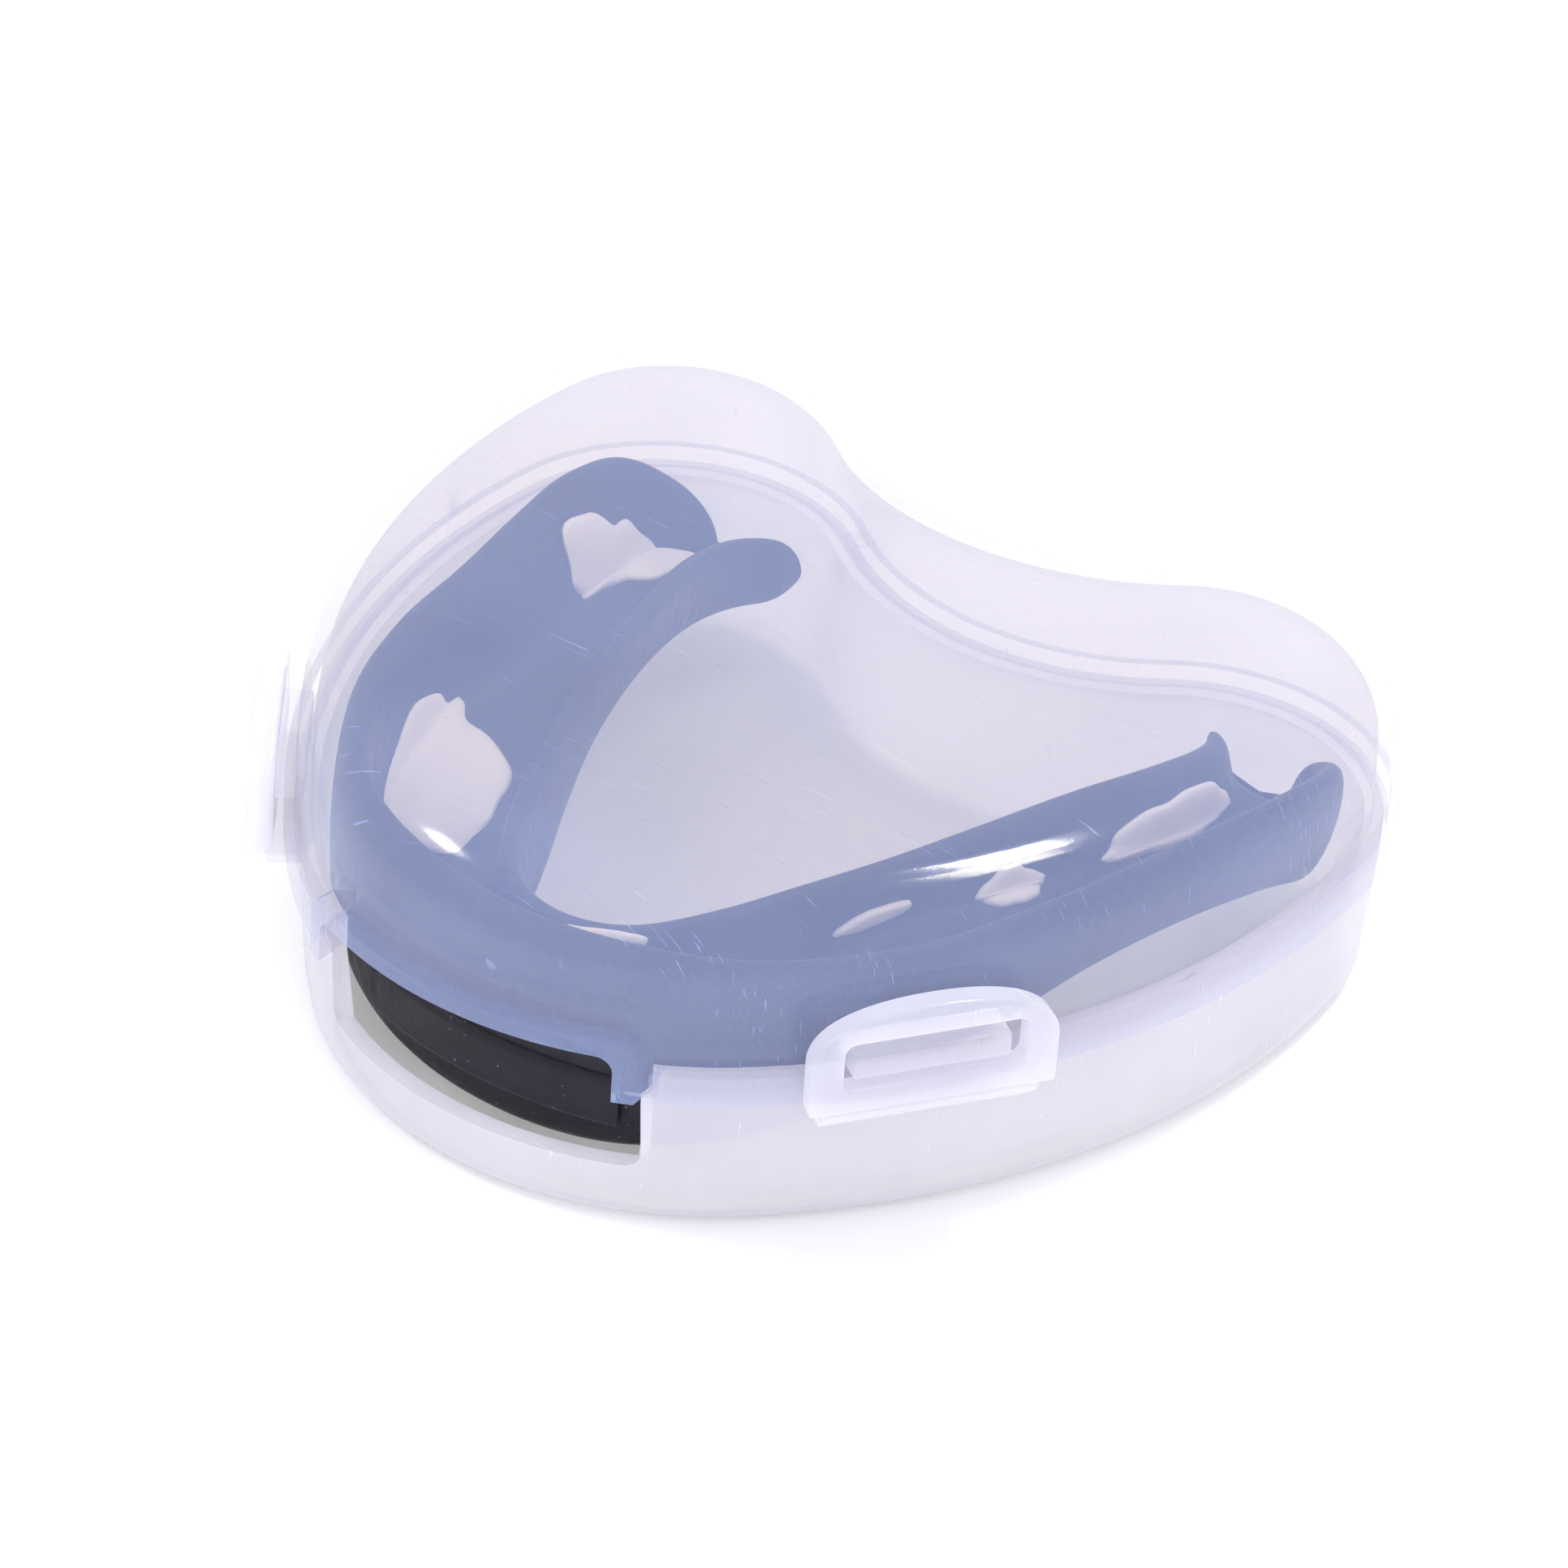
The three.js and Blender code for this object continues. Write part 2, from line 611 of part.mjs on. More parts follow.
function mouthguardShell() {
  const trough = archLoft(-1, 1, GUARD_STEPS, guardSection);
  return geometryOf(trough.add(archLoft(-BAR_REACH, BAR_REACH, BAR_STEPS, barSection)));
}

// ---------------------------------------------------------------- assembly

const SIDES = [
  { name: "right", side: 1 },
  { name: "left", side: -1 },
];

const group = new THREE.Group();
group.add(meshOf("case_base", caseBase(), clearPlastic));
group.add(meshOf("case_lid", caseLid(), clearPlastic));
for (const { name, side } of SIDES) {
  group.add(meshOf("latch_flap_" + name, latchFlap(side), clearPlastic));
  group.add(meshOf("living_hinge_" + name, livingHinge(side), clearPlastic));
}
group.add(meshOf("mouthguard_shell", mouthguardShell(), blackRubber));
for (const { name, from, to, steps } of PADS) {
  group.add(meshOf(name, geometryOf(archLoft(from, to, steps, padSection)), paleGel));
}

export default group;
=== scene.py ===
# The looks of a mouthguard in its clear storage case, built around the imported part.
# Lengths are in millimetres in the dimensions below and in metres in the scene.

import math

import bmesh
import bpy
from mathutils import Euler, Matrix, Vector


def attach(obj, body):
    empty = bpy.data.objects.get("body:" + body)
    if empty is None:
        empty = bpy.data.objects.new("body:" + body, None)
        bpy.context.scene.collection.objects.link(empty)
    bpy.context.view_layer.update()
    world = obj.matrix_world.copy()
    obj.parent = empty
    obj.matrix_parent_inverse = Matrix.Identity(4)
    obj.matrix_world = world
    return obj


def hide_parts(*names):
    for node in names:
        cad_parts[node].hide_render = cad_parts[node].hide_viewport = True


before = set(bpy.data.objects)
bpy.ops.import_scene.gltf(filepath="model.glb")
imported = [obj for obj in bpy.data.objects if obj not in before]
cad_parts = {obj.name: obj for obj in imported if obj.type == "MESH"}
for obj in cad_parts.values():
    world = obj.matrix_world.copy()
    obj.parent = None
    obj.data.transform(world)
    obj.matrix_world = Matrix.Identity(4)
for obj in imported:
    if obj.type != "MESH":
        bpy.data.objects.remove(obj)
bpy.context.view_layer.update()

MM = 0.001
SHARP = 0.01  # corner radius of an edge left sharp
CUT_MARGIN = 1  # how far a cutting solid reaches past the faces it cuts
EDGE_SLOT = 1  # the second material slot of the lid and the base, for their rounded edges, which carry painted refraction lines
SOFT_ANGLE = 80  # steepest crease, in degrees, that is still shaded smooth on soft pieces

# ---------------------------------------------------------------- case outline

FRONT_Y = -36.9  # foremost point of the skirt
FRONT_RADIUS = 29.6
FLANK_RADIUS = 62
LOBE_X = 23.84
LOBE_Y = 21.8
LOBE_RADIUS = 15.85
NOTCH_Y = 29.15  # deepest point of the notch
ARC_STEPS = (30, 32, 52, 22)  # along the front, flank, lobe and notch arcs
SKIN = 0.01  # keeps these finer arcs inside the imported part's box

SEAM_Z = 12  # bottom edge of the lid's skirt
LEDGE_Z = 15.1  # ledge between the skirt and the dome
TOP_Z = 27.5
GAP = 0.3  # clearance between neighbouring pieces
LID_WALL = 1.2
SKIRT_WALL = 0.8
LEDGE_WIDTH = 0.7
DOME_DRAFT = 0.25  # how far the dome wall leans in below its fillet
DOME_FILLET = 7.5
CROWN_RISE = 0.2
CAP_INSET = 11.5  # outline offset at which the nearly flat top closes
DOME_STEPS = 18
LID_EDGE = 0.25
GATE_X = -3
GATE_Y = 16.4
GATE_RINGS = ((1.0, 0.3), (1.25, 0.1), (1.4, -0.5))  # radius and depth; the last is above the lid
GATE_FLATTENING = 0.7  # depth of the oval as a share of its width
GATE_STEPS = 40

BASE_WALL = 1.4
BASE_TOP_INSET = 1.1  # base wall inside the skirt, at the seam
BASE_FOOT_INSET = 1.7  # base wall at the top of its foot fillet
BASE_FOOT_Z = 2
BASE_FLAT_INSET = 3.8  # edge of the flat underside
BASE_EDGE = 0.22
FLOOR_TOP = 1.6
FLOOR_FILLET_WIDTH = 1.6
FLOOR_FILLET_HEIGHT = 1
STRAIGHT_Z = SEAM_Z - 1  # the base wall is upright from here to its rim
RIM_Z = LEDGE_Z - LID_WALL - GAP

WINDOW_HALF = 13
WINDOW_TOP = 16
BASE_WINDOW_HALF = 13.8
BASE_WINDOW_SILL = 5.2
WINDOW_CORNER = 1.2
OPEN_CORNER = 0.5  # upper corners of the base's window cut, above its rim
LIP_WIDTH = 1.4
LIP_PROUD = 0.8
LIP_CORNER = 1.8
SKIRT_END = 15.1  # the skirt stops here beside the window
WINDOW_REACH = 8  # how deep the window cut goes

FLAP_ANGLE = math.radians(55)
FLAP_X = 30.66  # centre of the flap's outer face
FLAP_Y = -20.57
FLAP_THICKNESS = 2.1
FLAP_HALF = 9.2
FLAP_BOTTOM = 12.75
FLAP_SHOULDER = 16.8  # where the straight sides end
FLAP_TOP = 21.05
FLAP_ARCH_REACH = 0.6  # bezier handle at the top, as a share of the half width
FLAP_ARCH_BULGE = 0.66  # bezier handle at the shoulder, as a share of the arch's rise
FLAP_ARCH_STEPS = 24
FLAP_FOOT_CORNER = 0.6
FLAP_FOOT_STEPS = 4
FLAP_BEVEL = 0.42
FLAP_SLOT_HALF = 6.8
FLAP_SLOT_BOTTOM = 14.7
FLAP_SLOT_TOP = 18.6
FLAP_SLOT_CORNER = 0.8
WELD_DISTANCE = 0.003  # closer points of the flap are merged

CATCH_HALF = 5.9
CATCH_HEIGHT = 2
CATCH_RECESS = 0.8  # behind the flap's outer face
CATCH_ROOT = 1.2  # how far the bar reaches into the dome wall
CATCH_TRIM = 0.05  # taken off the root's hidden end
CATCH_CORNER = 0.3
CATCH_CORNER_STEPS = 4
CATCH_EDGE = 0.18

HINGE_Z = 12
HINGE_HALF = 8
HINGE_STEPS = 32
BEAD_RADIUS = 0.4
BEAD_START = 20  # degrees; the bead is open from here back to its end, where the leaf joins
BEAD_SWEEP = 320
BEAD_STEPS = 16
SHELF_EDGE = 0.55  # shelf edge inward of the hinge line
SHELF_DEPTH = 3.2
SHELF_BOTTOM = 10.9
SHELF_TOP = 11.7
SHELF_CORNER = 0.1
WEB_GAP = 0.05  # between the web's leaf and the shelf
LEAF = ((0.3, -0.62), (SHELF_EDGE - WEB_GAP, -0.65), (SHELF_EDGE - WEB_GAP, -0.3), (0.42, -0.3))


def unit(angle):
    return Vector((math.cos(angle), math.sin(angle)))


def outline_arcs():
    """(centre, radius, from, to) of the four arcs of the right half."""
    front = Vector((0, FRONT_Y + FRONT_RADIUS))
    lobe = Vector((LOBE_X, LOBE_Y))
    across = lobe - front
    distance = across.length
    u = across / distance
    to_front = FLANK_RADIUS - FRONT_RADIUS
    to_lobe = FLANK_RADIUS - LOBE_RADIUS
    along = (to_front**2 - to_lobe**2 + distance**2) / (2 * distance)
    side = math.sqrt(to_front**2 - along**2)
    flank = front + u * along + Vector((-u.y, u.x)) * side
    rise = LOBE_Y - NOTCH_Y
    notch_radius = (LOBE_X**2 + rise**2 - LOBE_RADIUS**2) / (2 * (LOBE_RADIUS + rise))
    notch = Vector((0, NOTCH_Y + notch_radius))
    a = math.atan2(front.y - flank.y, front.x - flank.x)
    b = math.atan2(lobe.y - flank.y, lobe.x - flank.x)
    c = math.atan2(notch.y - lobe.y, notch.x - lobe.x)
    return [
        (front, FRONT_RADIUS, -math.pi / 2, a),
        (flank, FLANK_RADIUS, a, b),
        (lobe, LOBE_RADIUS, b, c),
        (notch, -notch_radius, c, math.pi / 2),
    ]


ARCS = outline_arcs()


def ring(inset, z):
    """The whole outline moved inward, at one height, counter-clockwise from above."""
    right = []
    for (centre, radius, start, end), steps in zip(ARCS, ARC_STEPS):
        for i in range(steps):
            angle = start + (end - start) * i / steps
            p = centre + unit(angle) * (radius - inset - SKIN)
            right.append(Vector((p.x, p.y, z)))
    right[0].x = 0
    right.append(Vector((0, NOTCH_Y - inset - SKIN, z)))
    left = [Vector((-p.x, p.y, p.z)) for p in reversed(right[1:-1])]
    return right + left


# ---------------------------------------------------------------- meshes


def loft(rows, closed=True):
    """A bmesh through rows of points. closed joins the last row to the first, and if not, caps both."""
    bm = bmesh.new()
    made = [[bm.verts.new(p) for p in row] for row in rows]
    count = len(made[0])
    pairs = list(zip(made, made[1:]))
    if closed:
        pairs.append((made[-1], made[0]))
    for low, high in pairs:
        for i in range(count):
            j = (i + 1) % count
            bm.faces.new((low[i], low[j], high[j], high[i]))
    if not closed:
        bm.faces.new(reversed(made[0]))
        bm.faces.new(made[-1])
    return bm


def mesh_object(name, bm):
    """A linked object from a bmesh, with its faces turned outward."""
    bmesh.ops.recalc_face_normals(bm, faces=bm.faces)
    mesh = bpy.data.meshes.new(name)
    bm.to_mesh(mesh)
    bm.free()
    obj = bpy.data.objects.new(name, mesh)
    bpy.context.scene.collection.objects.link(obj)
    return obj


def settled(obj):
    """Applies all modifiers of an object."""
    graph = bpy.context.evaluated_depsgraph_get()
    mesh = bpy.data.meshes.new_from_object(obj.evaluated_get(graph))
    obj.modifiers.clear()
    obj.data = mesh
    return obj


def combine(obj, other, operation):
    """Cuts or joins two solids and removes the second."""
    modifier = obj.modifiers.new("cut", "BOOLEAN")
    modifier.operation = operation
    modifier.solver = "EXACT"
    modifier.object = other
    settled(obj)
    bpy.data.objects.remove(other)
    return obj


def rounded(obj, width, segments=2, limit=40, slot=-1):
    """Rounds the sharp edges of a solid. The new faces take the material in slot, if one is given."""
    modifier = obj.modifiers.new("edges", "BEVEL")
    modifier.width = width
    modifier.segments = segments
    modifier.limit_method = "ANGLE"
    modifier.angle_limit = math.radians(limit)
    modifier.use_clamp_overlap = True
    modifier.material = slot
    return settled(obj)


def smooth(obj, angle=50):
    obj.data.shade_smooth()
    obj.data.set_sharp_from_angle(angle=math.radians(angle))


def to_metres(obj):
    obj.data.transform(Matrix.Scale(MM, 4))


def solid_of_rows(name, rows):
    """A closed solid from [inset, z] rows, capped at both ends."""
    return mesh_object(name, loft([ring(*row) for row in rows], closed=False))


def outline_wall(name, outer_inset, inner_inset, bottom, top):
    rows = [
        ring(outer_inset, bottom),
        ring(outer_inset, top),
        ring(inner_inset, top),
        ring(inner_inset, bottom),
    ]
    return mesh_object(name, loft(rows))


def rounded_rectangle(half, bottom, top, corner, top_corner, steps=6):
    """Points [x, z] of a rectangle with rounded corners, counter-clockwise."""
    centres = [
        (half - corner, bottom + corner, corner, -90),
        (half - top_corner, top - top_corner, top_corner, 0),
        (-half + top_corner, top - top_corner, top_corner, 90),
        (-half + corner, bottom + corner, corner, 180),
    ]
    points = []
    for x, z, radius, start in centres:
        for i in range(steps + 1):
            angle = math.radians(start + 90 * i / steps)
            points.append((x + radius * math.cos(angle), z + radius * math.sin(angle)))
    return points


def plate(name, points, near, far):
    """A plate drawn as [x, z] between two distances along Y."""
    rows = [[Vector((x, y, z)) for x, z in points] for y in (near, far)]
    return mesh_object(name, loft(rows, closed=False))


def window_plate(half, bottom, top, corner, top_corner):
    points = rounded_rectangle(half, bottom, top, corner, top_corner)
    start = FRONT_Y - LIP_PROUD - CUT_MARGIN
    return plate("window", points, start, start + WINDOW_REACH)


# ---------------------------------------------------------------- case base


def fillet(inset, width, height, level, steps=10):
    rows = []
    for i in range(steps + 1):
        angle = math.pi / 2 * i / steps
        rows.append((inset + width * (1 - math.cos(angle)), level + height * (1 - math.sin(angle))))
    return rows


def build_base():
    outer = [(BASE_TOP_INSET, RIM_Z), (BASE_TOP_INSET, STRAIGHT_Z)]
    outer += fillet(BASE_FOOT_INSET, BASE_FLAT_INSET - BASE_FOOT_INSET, BASE_FOOT_Z, 0)
    inner = [(BASE_TOP_INSET + BASE_WALL, RIM_Z), (BASE_TOP_INSET + BASE_WALL, STRAIGHT_Z)]
    inner += fillet(BASE_FOOT_INSET + BASE_WALL, FLOOR_FILLET_WIDTH, FLOOR_FILLET_HEIGHT, FLOOR_TOP)
    base = solid_of_rows("case_base_shell", outer[::-1] + inner)
    window = window_plate(BASE_WINDOW_HALF, BASE_WINDOW_SILL, TOP_Z, WINDOW_CORNER, OPEN_CORNER)
    combine(base, window, "DIFFERENCE")
    lip_seat = window_plate(WINDOW_HALF + LIP_WIDTH + GAP, SEAM_Z, TOP_Z, SHARP, SHARP)
    combine(base, lip_seat, "DIFFERENCE")
    for side in (-1, 1):
        points = rounded_rectangle(HINGE_HALF, SHELF_BOTTOM, SHELF_TOP, SHELF_CORNER, SHELF_CORNER, 1)
        near = FLAP_THICKNESS / 2 + SHELF_EDGE
        shelf = plate("shelf", points, near, near + SHELF_DEPTH)
        on_flap_plane(shelf, side)
        combine(base, shelf, "UNION")
    base.data.materials.append(base_plastic)
    base.data.materials.append(edge_painted_refraction)
    rounded(base, BASE_EDGE, slot=EDGE_SLOT)
    smooth(base)
    to_metres(base)
    return base


# ---------------------------------------------------------------- case lid


def dome_rows(start, thickness):
    wall = start + DOME_DRAFT
    radius = DOME_FILLET - thickness
    centre = wall - thickness + DOME_FILLET
    rows = []
    for i in range(DOME_STEPS + 1):
        angle = math.pi / 2 * i / DOME_STEPS
        z = TOP_Z - CROWN_RISE - DOME_FILLET + radius * math.sin(angle)
        rows.append((centre - radius * math.cos(angle), z))
    rows.append((CAP_INSET, TOP_Z - thickness))
    return rows


def gate_mark():
    """The shallow oval dimple that the mould's gate leaves on the top."""
    angles = [2 * math.pi * k / GATE_STEPS for k in range(GATE_STEPS)]
    rows = []
    for radius, depth in GATE_RINGS:
        row = []
        for angle in angles:
            x = GATE_X + radius * math.cos(angle)
            y = GATE_Y + GATE_FLATTENING * radius * math.sin(angle)
            row.append(Vector((x, y, TOP_Z - depth)))
        rows.append(row)
    return mesh_object("gate", loft(rows, closed=False))


def build_lid():
    outer = [(0, SEAM_Z), (0, LEDGE_Z), (LEDGE_WIDTH, LEDGE_Z)] + dome_rows(LEDGE_WIDTH, 0)
    inside = LEDGE_WIDTH + LID_WALL
    inner = [(SKIRT_WALL, SEAM_Z), (SKIRT_WALL, LEDGE_Z - LID_WALL), (inside, LEDGE_Z - LID_WALL)]
    inner += dome_rows(inside, LID_WALL)
    lid = solid_of_rows("case_lid_shell", inner[::-1] + outer)
    band = outline_wall("band", -CUT_MARGIN, LEDGE_WIDTH, SEAM_Z - CUT_MARGIN, LEDGE_Z)
    combine(band, window_plate(SKIRT_END, 0, LEDGE_Z + CUT_MARGIN, SHARP, SHARP), "INTERSECT")
    combine(lid, band, "DIFFERENCE")
    lip = outline_wall("lip", -LIP_PROUD, inside, SEAM_Z, WINDOW_TOP + 2 * LIP_WIDTH)
    around = rounded_rectangle(
        WINDOW_HALF + LIP_WIDTH, SEAM_Z + GAP, WINDOW_TOP + LIP_WIDTH, SHARP, LIP_CORNER
    )
    start = FRONT_Y - LIP_PROUD - CUT_MARGIN
    block = plate("block", around, start, start + WINDOW_REACH + LIP_PROUD)
    combine(lip, block, "INTERSECT")
    combine(lid, lip, "UNION")
    window = window_plate(WINDOW_HALF, 0, WINDOW_TOP, WINDOW_CORNER, WINDOW_CORNER)
    combine(lid, window, "DIFFERENCE")
    combine(lid, gate_mark(), "DIFFERENCE")
    lid.data.materials.append(lid_plastic)
    lid.data.materials.append(edge_painted_refraction)
    rounded(lid, LID_EDGE, 3, slot=EDGE_SLOT)
    smooth(lid)
    to_metres(lid)
    return lid


# ---------------------------------------------------------------- flaps and catches


def on_flap_plane(obj, side):
    """Puts a mesh drawn at the origin, facing -Y, on one side's flap plane."""
    mesh = obj.data
    mesh.transform(Matrix.Rotation(FLAP_ANGLE, 4, "Z"))
    mesh.transform(Matrix.Translation((FLAP_X, FLAP_Y, 0)))
    if side < 0:
        mesh.transform(Matrix.Scale(-1, 4, (1, 0, 0)))
        mesh.flip_normals()


def bezier(a, b, c, d, steps):
    points = []
    for i in range(1, steps + 1):
        t = i / steps
        s = 1 - t
        points.append(tuple(
            s**3 * a[k] + 3 * s * s * t * b[k] + 3 * s * t * t * c[k] + t**3 * d[k] for k in (0, 1)
        ))
    return points


def flap_outline():
    half, shoulder, top = FLAP_HALF, FLAP_SHOULDER, FLAP_TOP
    bulge = shoulder + FLAP_ARCH_BULGE * (top - shoulder)
    reach = FLAP_ARCH_REACH * half
    foot = FLAP_FOOT_CORNER
    bottom = FLAP_BOTTOM
    right_foot = ((half - foot, bottom), (half, bottom), (half, bottom), (half, bottom + foot))
    left_foot = ((-half, bottom + foot), (-half, bottom), (-half, bottom), (-half + foot, bottom))
    points = [(-half + foot, bottom), (half - foot, bottom)]
    points += bezier(*right_foot, FLAP_FOOT_STEPS)
    points += [(half, shoulder)]
    points += bezier((half, shoulder), (half, bulge), (reach, top), (0, top), FLAP_ARCH_STEPS)
    points += bezier((0, top), (-reach, top), (-half, bulge), (-half, shoulder), FLAP_ARCH_STEPS)
    points += [(-half, bottom + foot)]
    points += bezier(*left_foot, FLAP_FOOT_STEPS)[:-1]
    return points


def build_flap(name, side):
    """A D-shaped plate with rounded edges and a slot, made from two flat outlines."""
    curve = bpy.data.curves.new(name, "CURVE")
    curve.dimensions = "2D"
    curve.fill_mode = "BOTH"
    slot = rounded_rectangle(FLAP_SLOT_HALF, FLAP_SLOT_BOTTOM, FLAP_SLOT_TOP,
                             FLAP_SLOT_CORNER, FLAP_SLOT_CORNER)
    for points in (flap_outline(), slot):
        spline = curve.splines.new("POLY")
        spline.points.add(len(points) - 1)
        for point, (x, z) in zip(spline.points, points):
            point.co = (x, z, 0, 1)
        spline.use_cyclic_u = True
    curve.extrude = FLAP_THICKNESS / 2 - FLAP_BEVEL
    curve.bevel_depth = FLAP_BEVEL
    curve.bevel_resolution = 3
    curve.offset = -FLAP_BEVEL
    drawn = bpy.data.objects.new(name, curve)
    bpy.context.scene.collection.objects.link(drawn)
    graph = bpy.context.evaluated_depsgraph_get()
    mesh = bpy.data.meshes.new_from_object(drawn.evaluated_get(graph))
    bpy.data.objects.remove(drawn)
    bm = bmesh.new()
    bm.from_mesh(mesh)
    bmesh.ops.remove_doubles(bm, verts=bm.verts, dist=WELD_DISTANCE)
    flap = mesh_object(name, bm)
    flap.data.transform(Matrix.Rotation(math.pi / 2, 4, "X"))
    flap.data.transform(Matrix.Translation((0, FLAP_THICKNESS / 2, 0)))
    on_flap_plane(flap, side)
    smooth(flap, 35)
    to_metres(flap)
    return flap


def build_catch(name, side):
    """The bar that the flap's slot snaps over, with its own root in the dome wall."""
    points = rounded_rectangle(CATCH_HALF, LEDGE_Z, LEDGE_Z + CATCH_HEIGHT,
                               CATCH_CORNER, CATCH_CORNER, CATCH_CORNER_STEPS)
    near = CATCH_RECESS
    bar = plate(name, points, near, near + FLAP_THICKNESS + CATCH_ROOT - CATCH_TRIM)
    on_flap_plane(bar, side)
    rounded(bar, CATCH_EDGE)
    smooth(bar)
    to_metres(bar)
    return bar


def build_hinge(name, side):
    """A thin necked web: a bead on the hinge line and a leaf towards the shelf."""
    section = []
    for i in range(BEAD_STEPS + 1):
        angle = math.radians(BEAD_START + BEAD_SWEEP * i / BEAD_STEPS)
        section.append((BEAD_RADIUS * math.cos(angle), BEAD_RADIUS * math.sin(angle)))
    section += LEAF
    middle = FLAP_THICKNESS / 2
    rows = []
    for i in range(HINGE_STEPS + 1):
        x = -HINGE_HALF + 2 * HINGE_HALF * i / HINGE_STEPS
        rows.append([Vector((x, middle + y, HINGE_Z + z)) for y, z in section])
    web = mesh_object(name, loft(rows, closed=False))
    on_flap_plane(web, side)
    smooth(web)
    to_metres(web)
    return web


# ---------------------------------------------------------------- mouthguard

# A U-shaped trough, open upward. Four rails carry its cross-sections along the right arm, from the
# middle of the front to the molar end. Each point is [x, y, z].
GUARD_RAILS = {
    "outerLow": [
        [0, -31.9, 2.9], [10.6, -30.2, 3.5], [19.5, -25, 5.8], [25, -16, 8.6], [27.6, -6, 9.6],
        [28.4, 4, 9.2], [29.6, 14, 8.2], [31.2, 22, 7.2], [31.8, 28, 5.6], [28, 32, 5.2],
    ],
    "outerRim": [
        [0, -30.8, 20.6], [10.2, -29.1, 20.8], [19.2, -24.4, 20.9], [26.3, -15.2, 20.7], [29.8, -5.4, 20.4],
        [31.6, 4, 19.6], [33.4, 13.5, 19.2], [34.6, 21.5, 18.6], [33.8, 28.5, 16.9], [28.8, 32.8, 12.6],
    ],
    "innerRim": [
        [0, -23, 17.2], [4.6, -21.4, 17.3], [8, -16.4, 17.4], [10.8, -10.2, 17.5], [13.4, -3.6, 17.4],
        [15.8, 4, 17.2], [18.1, 13, 16.6], [20.2, 21.4, 15.6], [20.4, 28.4, 14], [18, 33.4, 12.4],
    ],
    "innerLow": [
        [0, -23.6, 4.4], [4.6, -21.8, 5], [8.2, -16, 5.8], [10.6, -10.4, 6.6], [13.8, -4, 7.2],
        [17.4, 4, 7.7], [20.4, 13.2, 7.7], [22, 21.6, 7.2], [21.8, 28.2, 6.4], [19.6, 32.8, 6],
    ],
}
GUARD_STEPS = 80  # sections along the whole U
GUARD_FLANGE = 2.5
GUARD_FLOOR = 2.6
GUARD_EDGE = 0.8  # rounding of the rims and lower edges
GUARD_BULGE = 0.6  # outward swell of the outer flange at mid height

BAR_REACH = 0.11  # half its length, as a fraction of one arm
BAR_STEPS = 24
BAR_BOTTOM = 6.4
BAR_TOP = 10.6
BAR_PROUD = 0.9
BAR_EDGE = 0.25
BAR_CREASE = 25  # degrees; sharper edges of the bar are rounded

PATCH_PROFILE = (
    (0.05, 0.62), (0.3, 0.62), (0.55, 0.6), (0.75, 0.57), (0.88, 0.5), (0.96, 0.38), (1.0, 0.2),
    (0.99, 0.0), (0.9, -0.1), (0.6, -0.12), (0.3, -0.12), (0.05, -0.12),
)  # share of a pad's reach, and height over the trough's surface
PATCH_POINTS = 64
PATCH_WAVES = ((0.6, 2, 1), (0.3, 5, 2.3), (0.12, 11, 4.1))  # size, waves round the edge, phase factor

TROUGH_SOFTENING = (-0.3, -0.15, 0, 0.15, 0.3)  # places averaged to round the trough's corners
TROUGH_END = 6.999  # just short of the last point of the path across the trough
TROUGH_RIM = 5  # the path's point at the inner rim
TROUGH_OPEN = Vector((0, 0, 4))  # from between the rims up to the open side
ALONG_STEP = 0.004
ACROSS_STEP = 0.1

TIP_LENGTH = 0.05  # rounded end of each arm, as a share of the arm
TIP_STEPS = 5
TIP_DROP = 3.0  # how far the rims come down at the end
TIP_CLOSING = 0.7  # how far the two faces of a flange come together at the end
TIP_PARTNERS = (7, 6, 6, 5, 4, 3, 2, 0, 14, 13, 12, 11, 10, 9, 8)  # the facing point of each point
TIP_RIMS = (4, 11)


def along_rail(values, fraction, mirrored):
    """A smooth curve through values. A mirrored one changes sign across the middle of the U."""
    last = len(values) - 1
    place = min(fraction * last, last - 1e-9)
    i = int(place)
    t = place - i
    before = values[i - 1] if i > 0 else (-1 if mirrored else 1) * values[1]
    after = values[i + 2] if i + 2 <= last else 2 * values[last] - values[last - 1]
    a, b = values[i], values[i + 1]
    slope_a = (b - before) / 2
    slope_b = (after - a) / 2
    cubic = 2 * a - 2 * b + slope_a + slope_b
    square = 3 * b - 3 * a - 2 * slope_a - slope_b
    return ((cubic * t + square) * t + slope_a) * t + a


def station(fraction):
    """The rails and frame of one cross-section at a signed fraction of an arm."""
    at = {}
    for name, points in GUARD_RAILS.items():
        p = [along_rail([q[k] for q in points], abs(fraction), k == 0) for k in range(3)]
        at[name] = Vector((-p[0] if fraction < 0 else p[0], p[1], p[2]))
    outward = at["outerLow"] + at["outerRim"] - at["innerLow"] - at["innerRim"]
    outward.z = 0
    at["outward"] = outward.normalized()
    at["floor"] = max(at["outerLow"].z, at["innerLow"].z) + GUARD_FLOOR
    return at


def wall_point(at, side, z, move):
    """A point on the outer or inner face at height z, moved outward."""
    low, rim = at[side + "Low"], at[side + "Rim"]
    p = low.lerp(rim, (z - low.z) / (rim.z - low.z))
    p.z = z
    return p + at["outward"] * move


